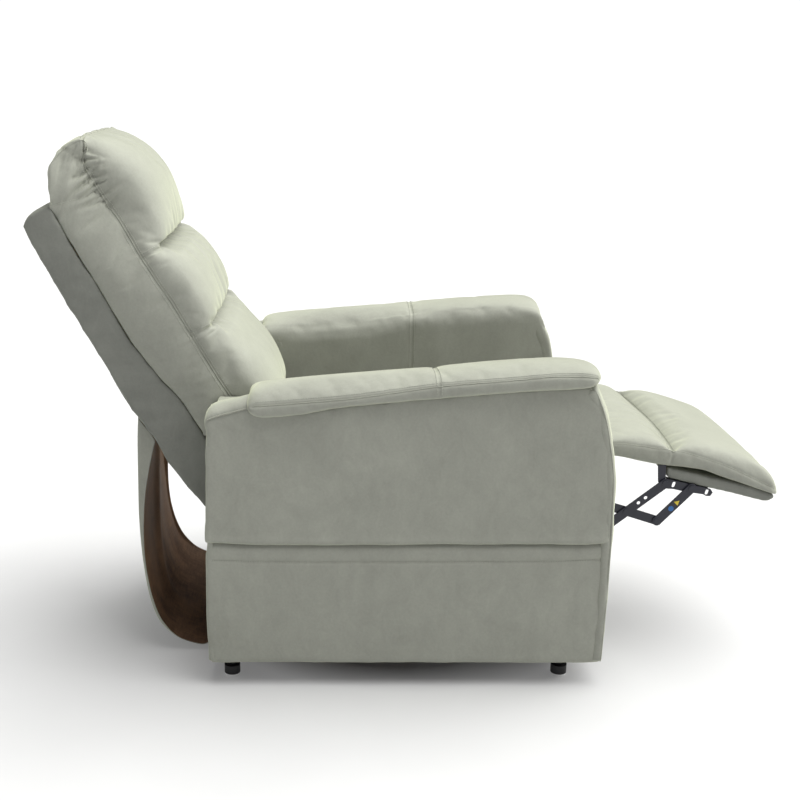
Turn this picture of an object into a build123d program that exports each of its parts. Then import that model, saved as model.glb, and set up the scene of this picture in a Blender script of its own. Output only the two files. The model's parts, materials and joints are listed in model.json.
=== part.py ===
from build123d import *
import math
import os

os.makedirs("parts", exist_ok=True)

# Frame: Z up, the chair faces -Y, its right side is -X. Profiles are drawn as (forward, height).

# ---- driving dimensions, mm ----
ARM_IN = 254.0
ARM_OUT = 404.0
PAD_OUT = 423.0
PANEL_T = 18.0
APRON_T = 16.0
APRON_OUT = 400.0
BOTTOM_Z = 55.0
STEP_Z = 324.0
BACK_HALF = 247.0
BACK_RAIL_T = 18.0
SEAT_HALF = 246.0
SEAT_TOP = 490.0
SEAT_LOW = 412.5
PLATE_IN = 248.0
PLATE_T = 3.0
LINK_T = 3.0
LINK_W = 20.0
OUTER_LAYER = 243.0
INNER_LAYER = 239.0
PIVOT_R = 4.0
RUN = 0.05
RAIL_X = 342.0
RAIL_W = 25.0
RAIL_Z0 = 34.0
RAIL_Z1 = 74.0
RAIL_REAR = -395.0
RAIL_FRONT = 343.0
FOOT_FRONT = 327.0
FOOT_REAR = -379.0
FOOT_R = 17.0
TUBE_Z0 = 270.0
TUBE_Z1 = 310.0
TUBE_WALL = 2.0

# pivots, (forward, height)
LIFT_BASE = (195.0, 75.0)
LIFT_CARR = (-105.0, 75.0)
GUIDE_BASE = (218.9, 93.3)
GUIDE_CARR = (-60.0, 110.0)
LIFT_MOTOR = (-340.0, 85.0)
LIFT_LUG = (135.0, 120.0)
LIFT_TUBE = (152.0, 70.0)
BACK_PIVOT = (-315.0, 420.0)
BACK_MOTOR = (60.0, 322.0)
BACK_LUG = (-340.0, 342.0)
P1 = (476.0, 336.0)
P2 = (544.0, 314.0)
P3 = (614.0, 390.0)
P4 = (556.0, 401.0)
S1 = (379.8, 399.9)
S2 = (323.3, 317.7)
LINK_END = (421.7, 291.8)

SIDES = (("right", -1), ("left", 1))


def side(x):
    return Plane(origin=(x, 0, 0), x_dir=(0, -1, 0), z_dir=(-1, 0, 0))


def span(s, a, b):
    return min(s * a, s * b), max(s * a, s * b)


def save(piece, label):
    piece.part.label = label
    export_step(piece.part, "parts/" + label + ".step")


def prism(label, outline, x_lo, x_hi, holes=(), window=None):
    with BuildPart() as piece:
        with BuildSketch(side(x_hi)):
            with BuildLine():
                Polyline(*outline, close=True)
            make_face()
            for f, z, r in holes:
                with Locations((f, z)):
                    Circle(r, mode=Mode.SUBTRACT)
        extrude(amount=x_hi - x_lo)
        if window:
            with BuildSketch(side(x_hi)):
                with BuildLine():
                    Polyline(*window, close=True)
                make_face()
            extrude(amount=x_hi - x_lo, mode=Mode.SUBTRACT)
    save(piece, label)


def pair(label, outline, a, b, holes=(), window=None, pins=()):
    with BuildPart() as piece:
        for s in (-1, 1):
            x_lo, x_hi = span(s, a, b)
            with BuildSketch(side(x_hi)) as face:
                with BuildLine():
                    Polyline(*outline, close=True)
                make_face()
                for f, z, r in holes:
                    with Locations((f, z)):
                        Circle(r, mode=Mode.SUBTRACT)
                if window:
                    with BuildLine():
                        Polyline(*window, close=True)
                    make_face(mode=Mode.SUBTRACT)
            extrude(face.sketch, amount=x_hi - x_lo)
            for f, z, r, p_a, p_b in pins:
                x_lo, x_hi = span(s, p_a, p_b)
                disc_x(f, z, r, x_lo, x_hi)
    save(piece, label)


def box(label, x_lo, x_hi, f_lo, f_hi, z_lo, z_hi):
    with BuildPart() as piece:
        with Locations(((x_lo + x_hi) / 2, -(f_lo + f_hi) / 2, (z_lo + z_hi) / 2)):
            Box(x_hi - x_lo, f_hi - f_lo, z_hi - z_lo)
    save(piece, label)


def cross_tubes(label, half, places, z_lo, z_hi, wall):
    with BuildPart() as piece:
        for f_lo, f_hi in places:
            with Locations((0, -(f_lo + f_hi) / 2, (z_lo + z_hi) / 2)):
                Box(2 * half, f_hi - f_lo, z_hi - z_lo)
                Box(2 * half + 2, f_hi - f_lo - 2 * wall, z_hi - z_lo - 2 * wall, mode=Mode.SUBTRACT)
    save(piece, label)


def ribbon(path, t):
    near = []
    far = []
    last = len(path) - 1
    for i, p in enumerate(path):
        a = path[max(i - 1, 0)]
        b = path[min(i + 1, last)]
        n = math.hypot(b[0] - a[0], b[1] - a[1])
        u = (-(b[1] - a[1]) / n * t / 2, (b[0] - a[0]) / n * t / 2)
        near.append((p[0] + u[0], p[1] + u[1]))
        far.append((p[0] - u[0], p[1] - u[1]))
    return near + far[::-1]


def disc_x(f, z, r, x_lo, x_hi, mode=Mode.ADD):
    with BuildSketch(side(x_hi)) as disc:
        with Locations((f, z)):
            Circle(r)
    extrude(disc.sketch, amount=x_hi - x_lo, mode=mode)


def slots(points, width, x_lo, x_hi):
    with BuildSketch(side(x_hi)) as strip:
        for a, b in zip(points, points[1:]):
            length = math.hypot(b[0] - a[0], b[1] - a[1])
            turn = math.degrees(math.atan2(b[1] - a[1], b[0] - a[0]))
            with Locations(((a[0] + b[0]) / 2, (a[1] + b[1]) / 2)):
                SlotCenterToCenter(length, width, rotation=turn)
    extrude(strip.sketch, amount=x_hi - x_lo)


def links(label, points, width, a, b, holes=(), bosses=()):
    with BuildPart() as piece:
        for s in (-1, 1):
            x_lo, x_hi = span(s, a, b)
            slots(points, width, x_lo, x_hi)
            for f, z, r in holes:
                disc_x(f, z, r, x_lo, x_hi, Mode.SUBTRACT)
            x_lo, x_hi = span(s, b, b + 1.2)
            for f, z in bosses:
                disc_x(f, z, 7, x_lo, x_hi)
    save(piece, label)


def rod_along(p, q, start, end, r, x=0.0, mode=Mode.ADD):
    n = math.hypot(q[0] - p[0], q[1] - p[1])
    u = ((q[0] - p[0]) / n, (q[1] - p[1]) / n)
    o = (x, -(p[0] + u[0] * start), p[1] + u[1] * start)
    with BuildSketch(Plane(origin=o, x_dir=(1, 0, 0), z_dir=(0, -u[0], u[1]))) as disc:
        Circle(r)
    extrude(disc.sketch, amount=end - start, mode=mode)


def rect_along(p, q, start, end, low, high):
    n = math.hypot(q[0] - p[0], q[1] - p[1])
    u = ((q[0] - p[0]) / n, (q[1] - p[1]) / n)
    pts = []
    for a, b in ((start, low), (end, low), (end, high), (start, high)):
        pts.append((p[0] + u[0] * a - u[1] * b, p[1] + u[1] * a + u[0] * b))
    return pts


# ---- floor base ----
with BuildPart() as rails:
    for s in (-1, 1):
        with Locations((s * RAIL_X, -(RAIL_REAR + RAIL_FRONT) / 2, (RAIL_Z0 + RAIL_Z1) / 2)):
            Box(RAIL_W, RAIL_FRONT - RAIL_REAR, RAIL_Z1 - RAIL_Z0)
            Box(RAIL_W - 4, RAIL_FRONT - RAIL_REAR + 2, RAIL_Z1 - RAIL_Z0 - 4, mode=Mode.SUBTRACT)
save(rails, "base_rails")

TUBE_HALF = RAIL_X - RAIL_W / 2
cross_tubes("base_tubes", TUBE_HALF, ((300, 325), (-390, -362)), RAIL_Z0, RAIL_Z1, TUBE_WALL)

with BuildPart() as feet:
    for s in (-1, 1):
        for f in (FOOT_FRONT, FOOT_REAR):
            with BuildSketch(Plane.XY.offset(5)):
                with Locations((s * RAIL_X, -f)):
                    Circle(FOOT_R)
            extrude(amount=19)
            with BuildSketch(Plane.XY.offset(24)):
                with Locations((s * RAIL_X, -f)):
                    Circle(7)
            extrude(amount=RAIL_Z0 - 24)
save(feet, "glide_feet")

with BuildPart() as foot_discs:
    for s in (-1, 1):
        for f in (FOOT_FRONT, FOOT_REAR):
            with BuildSketch(Plane.XY):
                with Locations((s * RAIL_X, -f)):
                    Circle(FOOT_R - 1)
            extrude(amount=5)
save(foot_discs, "glide_discs")

BR_OUT = TUBE_HALF
BR_IN = BR_OUT - 6
pair("base_brackets", [(165, 36), (250, 36), (250, 90), (236, 112), (205, 112), (165, 80)], BR_IN, BR_OUT,
     pins=[LIFT_BASE + (8, 308, BR_IN), GUIDE_BASE + (6, 294, BR_IN)])

with BuildPart() as motor_bracket:
    for s in (-1, 1):
        x_lo, x_hi = span(s, 27, 31)
        with BuildSketch(side(x_hi)):
            with BuildLine():
                Polyline((-362, 36), (-330, 70), (-326, 85), (-333, 98), (-347, 98), (-362, 74), close=True)
            make_face()
        extrude(amount=x_hi - x_lo)
    disc_x(LIFT_MOTOR[0], LIFT_MOTOR[1], 5, -31, 31)
save(motor_bracket, "lift_motor_bracket")

box("power_supply", 112, 222, -362, -262, 36, 84)
with BuildPart() as inlet:
    with Locations((228, 310, 60)):
        Box(12, 32, 24)
        with Locations((4, 0, 0)):
            Box(8, 26, 18, mode=Mode.SUBTRACT)
save(inlet, "power_inlet")

# ---- lift arms ----
links("lift_arms", [LIFT_BASE, LIFT_CARR], 36, 311, 319,
      holes=[LIFT_BASE + (8 + RUN,), LIFT_CARR + (7 + RUN,)])
with BuildPart() as lift_tube:
    disc_x(LIFT_TUBE[0], LIFT_TUBE[1], 11, -311, 311)
    with BuildSketch(side(5)) as lug:
        with BuildLine():
            Polyline((146, 72), (161, 72), (150, 122), (143, 129), (128, 129), (124, 119), (142, 94),
                     close=True)
        make_face()
    extrude(lug.sketch, amount=10)
    disc_x(LIFT_TUBE[0], LIFT_TUBE[1], 9, -312, 312, Mode.SUBTRACT)
save(lift_tube, "lift_cross_tube")
links("guide_links", [GUIDE_BASE, GUIDE_CARR], 24, 297, 303,
      holes=[GUIDE_BASE + (6 + RUN,), GUIDE_CARR + (8.4,)])

# ---- lift actuator ----
with BuildPart() as lift_motor:
    rod_along(LIFT_MOTOR, LIFT_LUG, 48, 385, 21)
    with BuildSketch(side(32)):
        with BuildLine():
            Polyline(*rect_along(LIFT_MOTOR, LIFT_LUG, 48, 150, -32, 34), close=True)
        make_face()
    extrude(amount=64)
    with BuildSketch(side(12)):
        with BuildLine():
            Polyline(*rect_along(LIFT_MOTOR, LIFT_LUG, -12, 50, -12, 12), close=True)
        make_face()
    extrude(amount=24)
    disc_x(LIFT_MOTOR[0], LIFT_MOTOR[1], 5 + RUN, -12, 12, Mode.SUBTRACT)
    rod_along(LIFT_MOTOR, LIFT_LUG, 150, 390, 10 + RUN, mode=Mode.SUBTRACT)
save(lift_motor, "lift_motor")

with BuildPart() as lift_rod:
    rod_along(LIFT_MOTOR, LIFT_LUG, 230, 448, 10)
    with BuildSketch(side(12)):
        with BuildLine():
            Polyline(*rect_along(LIFT_MOTOR, LIFT_LUG, 446, 487, -11, 11), close=True)
        make_face()
    extrude(amount=24)
    with BuildSketch(side(7)):
        with BuildLine():
            Polyline(*rect_along(LIFT_MOTOR, LIFT_LUG, 454, 490, -30, 30), close=True)
        make_face()
    extrude(amount=14, mode=Mode.SUBTRACT)
save(lift_rod, "lift_rod")

# ---- seat frame ----
cross_tubes("seat_tubes", 382, ((240, 280), (-150, -110)), TUBE_Z0, TUBE_Z1, TUBE_WALL)

pair("hangers", [(-150, TUBE_Z0), (-110, TUBE_Z0), (-40, 122), (-44, 96), (-88, 60), (-105, 56), (-122, 60),
                 (-128, 90)], 285, 291, pins=[LIFT_CARR + (7, 291, 322), GUIDE_CARR + (6, 291, 306)])

SEAT_PLATE = [(-345, 345), (-330, TUBE_Z1), (300, TUBE_Z1), (312, 302), (334, 302), (345, 325), (395, 385),
              (395, SEAT_LOW - 1), (-262, SEAT_LOW - 1), (-290, 444), (-336, 444), (-345, 430)]
pair("seat_plates", SEAT_PLATE, PLATE_IN, PLATE_IN + PLATE_T, pins=[BACK_PIVOT + (8, 218, PLATE_IN)])

with BuildPart() as seat_rivets:
    for s in (-1, 1):
        for p in (S1, S2):
            x_lo, x_hi = span(s, INNER_LAYER - 3, PLATE_IN)
            disc_x(p[0], p[1], PIVOT_R, x_lo, x_hi)
            x_lo, x_hi = span(s, INNER_LAYER + LINK_T + 0.4, PLATE_IN)
            disc_x(p[0], p[1], 7, x_lo, x_hi)
            x_lo, x_hi = span(s, INNER_LAYER - 3, INNER_LAYER - 0.4)
            disc_x(p[0], p[1], 7, x_lo, x_hi)
save(seat_rivets, "seat_rivets")

with BuildPart() as rails:
    with Locations((0, -279, 368)):
        Box(2 * PLATE_IN, 22, 76)
    with Locations((0, 221, 384)):
        Box(2 * PLATE_IN, 22, 44)
    with Locations((0, 414, 76)):
        Box(532, 20, 40)
save(rails, "seat_cross_rails")
with BuildPart() as webbing:
    for x in (-184, -92, 0, 92, 184):
        with Locations((x, -29, 408.5)):
            Box(58, 522, 5)
save(webbing, "seat_webbing")
box("actuator_rail", -22, 22, -110, 240, 270, 290)
with BuildPart() as rail_lugs:
    for s in (-1, 1):
        x_lo, x_hi = span(s, 14, 18)
        with BuildSketch(side(x_hi)):
            with BuildLine():
                Polyline((40, 290), (80, 290), (73, 330), (66, 336), (54, 336), (47, 330), close=True)
            make_face()
        extrude(amount=x_hi - x_lo)
    disc_x(BACK_MOTOR[0], BACK_MOTOR[1], 5, -18, 18)
save(rail_lugs, "back_motor_bracket")

# ---- seat and chaise upholstery ----
SEAT = [(-238, 425), (-228, SEAT_LOW), (404, SEAT_LOW), (411, 424), (412, 470), (411, 489), (380, 496),
        (300, 498), (100, 494), (-100, 488), (-190, 484), (-226, 476), (-238, 458)]
prism("seat_cushion", SEAT, -SEAT_HALF, SEAT_HALF)
CALF = [(412.6, 472), (448, 468), (510, 454), (572, 440), (571.7, 476), (545, 486), (506, 495), (460, 502),
        (430, 502), (412.6, 494)]
prism("calf_pad", CALF, -SEAT_HALF, SEAT_HALF)
FOOT_PAD = [(572.3, 440), (640, 428), (688, 414.5), (757, 388.5), (792, 375), (799, 377), (800, 384),
            (792, 396), (770, 415), (722, 444), (653, 470), (600, 480), (572.3, 477)]
prism("footrest_pad", FOOT_PAD, -BACK_HALF, BACK_HALF)
BOARD = [(557.5, 433), (558.5, 411), (775, 357.5), (786, 358.5), (794, 366), (795.5, 372.5), (757, 384), (700, 396)]
prism("footrest_board", BOARD, -242.6, 242.6)
with BuildPart() as risers:
    for x in (-120, 120):
        with BuildSketch(side(x + 20)):
            with BuildLine():
                Polyline((580, 428.3), (680, 401.8), (680, 416.4), (640, 427.6), (580, 438.2), close=True)
            make_face()
        extrude(amount=40)
save(risers, "footrest_risers")

# ---- footrest linkage ----
BRACKET = [(538, 442), (555.5, 442), (556.5, 411.2), (560, 410.2), (656, 386.5), (661, 379), (656, 371),
           (647, 371), (640, 375), (600, 381), (575, 387), (560, 388), (546, 392), (541, 404)]
with BuildPart() as bracket:
    for s in (-1, 1):
        x_lo, x_hi = span(s, INNER_LAYER, INNER_LAYER + LINK_T)
        with BuildSketch(side(x_hi)) as plate:
            with BuildLine():
                Polyline(*BRACKET, close=True)
            make_face()
            with Locations((575, 397), (648, 380)):
                SlotOverall(13, 7, rotation=76, mode=Mode.SUBTRACT)
        extrude(plate.sketch, amount=LINK_T)
        f_lo, f_hi = span(s, INNER_LAYER - 15, INNER_LAYER + LINK_T)
        with BuildSketch(side(f_hi)) as flange:
            with BuildLine():
                Polyline((562, 409.7), (652, 387.5), (651.4, 385), (561.4, 407.2), close=True)
            make_face()
        extrude(flange.sketch, amount=15 + LINK_T)
save(bracket, "footrest_brackets")

with BuildPart() as foot_rivets:
    for s in (-1, 1):
        for p in (P3, P4):
            x_lo, x_hi = span(s, INNER_LAYER + LINK_T, OUTER_LAYER + LINK_T + 1.6)
            disc_x(p[0], p[1], PIVOT_R, x_lo, x_hi)
            x_lo, x_hi = span(s, OUTER_LAYER + LINK_T + 0.4, OUTER_LAYER + LINK_T + 1.6)
            disc_x(p[0], p[1], 7, x_lo, x_hi)
save(foot_rivets, "footrest_rivets")

HOLE = PIVOT_R + RUN
OUTER = (OUTER_LAYER, OUTER_LAYER + LINK_T)
INNER = (INNER_LAYER, INNER_LAYER + LINK_T)
links("links_long", [LINK_END, P4], LINK_W, *OUTER,
      holes=[P4 + (HOLE,), (501, 356.3, 4), (515.5, 368.1, 4)], bosses=[P1, LINK_END])
links("links_front", [P2, P3], LINK_W, *OUTER, holes=[P3 + (HOLE,)], bosses=[P2])
links("links_cross", [S1, (446, 345), P1, P2], LINK_W, *INNER, holes=[S1 + (HOLE,)])
links("links_rear", [S2, LINK_END], LINK_W, *INNER, holes=[S2 + (HOLE,)])

# ---- arms ----
PAD_LOW = [(-306, 597), (-231, 605), (-152, 620), (-34, 636), (45, 644), (202, 656), (327, 661)]
PANEL = ([(-424, STEP_Z), (-421, 465), (-418, 596)] + [(f, z - 1) for f, z in PAD_LOW]
         + [(352, 663), (369, 638), (384, 591), (395, 539), (405, 486), (410, 443), (412, 400), (409, 357),
            (408, STEP_Z)])
APRON = [(-421, STEP_Z - 0.5), (-425, 291), (-427, 156), (-425, 110), (-420, 57), (404, BOTTOM_Z),
         (409, 201), (406, STEP_Z - 0.5)]
PAD = [(-345, 612), (-330, 600), (-306, 597), (-231, 605), (-152, 620), (-34, 636), (45, 644), (202, 656),
       (327, 661), (352, 664), (366, 672), (370, 684), (360, 694), (331, 699), (201, 695), (54, 684),
       (-109, 672), (-239, 658), (-320, 640), (-343, 626)]
FRONT = [(352, 661), (369, 638), (384, 591), (395, 539), (405, 486), (410, 443), (412, 400), (409, 357),
         (408, 324), (409, 201), (404, BOTTOM_Z)]
LINING = [(-330, 330), (388, 330), (388, 520), (375, 600), (350, 658), (202, 655), (45, 643), (-34, 635),
         (-152, 619), (-231, 604), (-330, 594)]
FRAME_OUT = [(-400, TUBE_Z1), (386, TUBE_Z1), (386, 450), (378, 520), (352, 630), (202, 654), (45, 642),
             (-34, 634), (-152, 618), (-231, 603), (-306, 595), (-400, 595)]
FRAME_IN = [(-370, 335), (356, 335), (356, 450), (330, 610), (202, 628), (-34, 608), (-231, 577), (-370, 570)]
REAR = [(-424, 57), (-408, 57), (-408, 595), (-418, 596), (-421, 465), (-426, 291), (-427, 156)]
for name, s in SIDES:
    x_lo, x_hi = span(s, ARM_OUT - PANEL_T, ARM_OUT)
    prism("side_panel_" + name, PANEL, x_lo, x_hi)
    x_lo, x_hi = span(s, APRON_OUT - APRON_T, APRON_OUT)
    prism("apron_" + name, APRON, x_lo, x_hi)
    x_lo, x_hi = span(s, ARM_IN, PAD_OUT)
    prism("arm_pad_" + name, PAD, x_lo, x_hi)
pair("arm_linings", LINING, ARM_IN, ARM_IN + 12)
pair("arm_fronts", FRONT + [(f - 16, z) for f, z in FRONT[::-1]], ARM_IN + 12, ARM_OUT - 20)
pair("arm_rears", REAR, ARM_IN + 12, ARM_OUT - 20)
pair("arm_frames", FRAME_OUT, ARM_IN + 12, ARM_OUT - PANEL_T - 4, window=FRAME_IN)

# ---- back ----
BACK_SIDE = [(-800, 955), (-786, 976), (-758, 990), (-737, 997), (-723, 964), (-682, 890), (-644, 824),
             (-587, 719), (-547, 663), (-484, 589), (-435, 511), (-400, 440), (-398, 372), (-437, 336),
             (-479, 396), (-520, 453), (-545, 505), (-579, 547), (-651, 676), (-727, 814)]
pair("back_sides", BACK_SIDE, BACK_HALF - BACK_RAIL_T, BACK_HALF)
pair("back_brackets", [(-470, 520), (-440, 500), (-330, 436), (-303, 424), (-303, 412), (-315, 404),
                       (-420, 400), (-480, 470)], 222, 228, holes=[BACK_PIVOT + (8 + RUN,)])
BACK_IN = BACK_HALF - BACK_RAIL_T
prism("outside_back", [(-800, 955), (-727, 814), (-651, 676), (-579, 547), (-570, 552), (-642, 681),
                       (-718, 819), (-790, 958)], -BACK_IN, BACK_IN)
prism("back_top_rail", [(-790, 959), (-786, 976), (-758, 990), (-737, 997), (-729, 978), (-776, 956)],
      -BACK_IN, BACK_IN)
prism("back_deck", [(-728, 976), (-723, 964), (-644, 824), (-587, 719), (-547, 663), (-484, 589),
                    (-435, 511), (-442, 507), (-491, 584), (-555, 658), (-595, 715), (-652, 820),
                    (-731, 960)], -221, 221)
prism("back_low_panel", [(-578, 546), (-545, 505), (-520, 453), (-479, 396), (-437, 336), (-431, 341),
                         (-472, 400), (-513, 457), (-538, 509), (-569, 549)], -221, 221)
prism("back_low_rail", [(-430, 342), (-398, 372), (-398, 400), (-424, 400), (-452, 372)], -221, 221)
with BuildPart() as back_lug:
    with BuildSketch(side(5)):
        with BuildLine():
            Polyline((-398, 374), (-345, 356), (-331, 352), (-329, 338), (-336, 332), (-350, 332),
                     (-398, 360), close=True)
        make_face()
        Polygon((-398, 374), (-398, 398), (-390, 398), (-380, 367), align=None)
    extrude(amount=10)
save(back_lug, "back_lug")

CUSHION = [(-733, 998.5), (-736, 1038), (-734, 1088), (-711, 1110), (-688, 1136), (-660, 1146), (-616, 1142),
           (-562, 1123), (-531, 1086), (-504, 1025), (-489, 960), (-495, 925), (-508, 905), (-465, 908),
           (-430, 870), (-404, 824), (-389, 772), (-392, 748), (-402, 737), (-360, 745), (-321, 709),
           (-285, 651), (-266, 590), (-262, 545), (-272, 516), (-300, 506), (-350, 506), (-434, 510),
           (-483.5, 590), (-546.5, 664), (-586.5, 720), (-643.5, 825), (-681.5, 891), (-722.5, 965)]
prism("back_cushion", CUSHION, -BACK_HALF, BACK_HALF)

# ---- back actuator ----
with BuildPart() as back_motor:
    rod_along(BACK_MOTOR, BACK_LUG, 38, 285, 16)
    with BuildSketch(side(27)):
        with BuildLine():
            Polyline(*rect_along(BACK_MOTOR, BACK_LUG, 36, 110, -30, 26), close=True)
        make_face()
    extrude(amount=54)
    with BuildSketch(side(10)):
        with BuildLine():
            Polyline(*rect_along(BACK_MOTOR, BACK_LUG, -11, 40, -11, 11), close=True)
        make_face()
    extrude(amount=20)
    disc_x(BACK_MOTOR[0], BACK_MOTOR[1], 5 + RUN, -10, 10, Mode.SUBTRACT)
    rod_along(BACK_MOTOR, BACK_LUG, 120, 290, 9 + RUN, mode=Mode.SUBTRACT)
save(back_motor, "back_motor")

with BuildPart() as back_rod:
    rod_along(BACK_MOTOR, BACK_LUG, 165, 376, 9)
    with BuildSketch(side(11)):
        with BuildLine():
            Polyline(*rect_along(BACK_MOTOR, BACK_LUG, 374, 410, -10, 10), close=True)
        make_face()
    extrude(amount=22)
    with BuildSketch(side(6.5)):
        with BuildLine():
            Polyline(*rect_along(BACK_MOTOR, BACK_LUG, 382, 412, -30, 30), close=True)
        make_face()
    extrude(amount=13, mode=Mode.SUBTRACT)
save(back_rod, "back_rod")

# ---- rear skirt, a slack sheet ----
SKIRT = [(-581.5, 544), (-585, 493), (-587, 402), (-587, 309), (-582, 214), (-571, 130), (-553, 74),
         (-527, 42), (-494, 24), (-460, 20), (-436, 34), (-426, 60), (-425.2, 90)]
prism("rear_skirt", ribbon(SKIRT, 2.0), -228, 228)

# ---- handset and its pocket, on the left side panel ----
with BuildPart() as pocket:
    with Locations(((404 + 421.6) / 2, -258, 450)):
        Box(17.6, 64, 60)
    with Locations(((405 + 420.4) / 2, -258, 454)):
        Box(15.4, 56, 56, mode=Mode.SUBTRACT)
save(pocket, "handset_pocket")

BUTTONS = [("back_recline", 246, 561), ("back_raise", 270, 561), ("lift_up", 246, 540), ("lift_down", 270, 540)]
with BuildPart() as handset:
    with Locations(((405.3 + 420.1) / 2, -258, (426.3 + 580) / 2)):
        Box(14.8, 54, 153.7)
    fillet(handset.edges().filter_by(Axis.X), 8)
    for name, f, z in BUTTONS:
        with Locations((418.2, -f, z)):
            Box(4.4, 14.4, 10.4, mode=Mode.SUBTRACT)
save(handset, "handset")
for name, f, z in BUTTONS:
    with BuildPart() as button:
        with Locations(((417.5 + 422.3) / 2, -f, z)):
            Box(4.8, 14, 10)
    save(button, "button_" + name)
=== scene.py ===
import json
import math

import bmesh
import bpy
import numpy as np
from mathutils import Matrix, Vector
from mathutils.bvhtree import BVHTree
from mathutils.kdtree import KDTree


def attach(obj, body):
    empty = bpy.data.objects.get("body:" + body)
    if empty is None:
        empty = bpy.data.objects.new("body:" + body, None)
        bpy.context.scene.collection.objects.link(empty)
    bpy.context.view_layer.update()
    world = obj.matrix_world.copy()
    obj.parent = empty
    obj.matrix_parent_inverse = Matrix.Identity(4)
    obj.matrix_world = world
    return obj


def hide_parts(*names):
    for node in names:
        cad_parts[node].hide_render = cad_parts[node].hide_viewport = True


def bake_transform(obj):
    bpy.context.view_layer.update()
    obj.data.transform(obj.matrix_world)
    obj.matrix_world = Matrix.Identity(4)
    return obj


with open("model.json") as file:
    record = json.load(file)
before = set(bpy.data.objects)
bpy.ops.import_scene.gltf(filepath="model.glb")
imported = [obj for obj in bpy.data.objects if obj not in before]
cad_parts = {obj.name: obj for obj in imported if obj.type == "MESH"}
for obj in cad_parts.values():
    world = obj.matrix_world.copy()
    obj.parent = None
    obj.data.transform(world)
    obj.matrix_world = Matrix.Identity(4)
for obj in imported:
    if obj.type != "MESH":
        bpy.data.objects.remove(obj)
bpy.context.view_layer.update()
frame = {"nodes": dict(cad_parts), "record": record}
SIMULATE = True
scene = bpy.context.scene
scene.view_settings.view_transform = "Standard"

# Points are (x, forward, height) in millimetres, and forward is -Y. Blender's own coordinates are in metres.
MM = 0.001
TO_METRES = np.array((MM, -MM, MM))
ARM_IN, ARM_OUT, PAD_OUT = 254.0, 404.0, 423.0  # the arm's inner face, its side panel's outer face, its pad's edge
BACK_HALF, SEAT_HALF = 247.0, 246.0  # half widths of the back and seat cushions
STEP_Z, BOTTOM_Z = 324.0, 55.0  # heights of the step below the side panel, and of the apron's lower edge
ARM_REAR, ARM_FRONT = -424, 407  # forward positions of the arm's two ends
FLIP = np.array([-1.0, 1.0, 1.0])  # turns a point of the left side into its twin on the right
SIDES = ((1, "left"), (-1, "right"))


# ---------------- camera
camera = bpy.data.objects.new("camera", bpy.data.cameras.new("camera"))
scene.collection.objects.link(camera)
camera.data.lens = 54.675
camera.data.sensor_width = 36.0
camera.data.shift_x = 0.109
camera.location = (-2.722, 0.205, 1.279)
pitch = math.radians(15.59)
look = Vector((math.cos(pitch), 0.0, -math.sin(pitch)))
camera.rotation_euler = look.to_track_quat("-Z", "Y").to_euler()
scene.camera = camera


# ---------------- paths and meshes
def resample(path, count):
    """The same line as a number of points, evenly spaced."""
    steps = np.linalg.norm(np.diff(path, axis=0), axis=1)
    along = np.concatenate([[0.0], np.cumsum(steps)])
    at = np.linspace(0, along[-1], count)
    return np.column_stack([np.interp(at, along, path[:, k]) for k in range(path.shape[1])])


def curve(points, count=None, spacing=6.0):
    """A smooth line through points, evenly spaced."""
    p = np.array(points, float)
    q = np.vstack([2 * p[0] - p[1], p, 2 * p[-1] - p[-2]])
    t = np.linspace(0, 1, 14, endpoint=False)[:, None]
    out = []
    for i in range(1, len(q) - 2):
        a, b, c, d = q[i - 1], q[i], q[i + 1], q[i + 2]
        bend, twist = 2 * a - 5 * b + 4 * c - d, 3 * b - a - 3 * c + d
        out.append(0.5 * (2 * b + (c - a) * t + bend * t**2 + twist * t**3))
    line = np.vstack(out + [p[-1:]])
    if count is None:
        count = max(2, int(np.linalg.norm(np.diff(line, axis=0), axis=1).sum() / spacing) + 1)
    return resample(line, count)


def straight(points, spacing=6.0):
    """Straight runs between points, evenly spaced."""
    p = np.array(points, float)
    length = np.linalg.norm(np.diff(p, axis=0), axis=1).sum()
    return resample(p, max(2, int(length / spacing) + 1))


def height_of(points):
    """A function giving height for a forward position, along a line of (forward, height)."""
    p = curve(points, spacing=4.0)
    order = np.argsort(p[:, 0])
    return lambda f: np.interp(f, p[order, 0], p[order, 1])


def make(name, points, faces, material=None, smooth=True, outward=True):
    """A mesh object from points in millimetres."""
    co = np.array(points, float) * TO_METRES
    mesh = bpy.data.meshes.new(name)
    mesh.from_pydata(co.tolist(), [], faces)
    if outward:
        bm = bmesh.new()
        bm.from_mesh(mesh)
        bmesh.ops.recalc_face_normals(bm, faces=bm.faces)
        bm.to_mesh(mesh)
        bm.free()
    if smooth:
        mesh.shade_smooth()
    mesh.update()
    obj = bpy.data.objects.new(name, mesh)
    scene.collection.objects.link(obj)
    if material:
        mesh.materials.append(material)
    return obj


def ring_faces(rows, columns, wrap=True):
    """Quads between rows of points, joined into rings if wrap is set."""
    faces = []
    for i in range(rows - 1):
        here, above = i * columns, (i + 1) * columns
        for j in range(columns if wrap else columns - 1):
            k = (j + 1) % columns
            faces.append((here + j, here + k, above + k, above + j))
    return faces


def tube_of_rings(rings):
    """Vertices and faces of a closed body lofted through rings of equal count, with both ends capped."""
    rings = np.array(rings, float)
    rows, columns = rings.shape[:2]
    faces = ring_faces(rows, columns)
    faces.append(tuple(range(columns)))
    faces.append(tuple((rows - 1) * columns + j for j in range(columns - 1, -1, -1)))
    return rings.reshape(-1, 3), faces


def slab(outline, x_low, x_high):
    """A closed prism along x from an outline of (forward, height)."""
    n = len(outline)
    points = [(x_low, f, z) for f, z in outline] + [(x_high, f, z) for f, z in outline]
    faces = [tuple(range(n)), tuple(range(2 * n - 1, n - 1, -1))]
    faces += [(i, (i + 1) % n, n + (i + 1) % n, n + i) for i in range(n)]
    return np.array(points, float), faces


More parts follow.
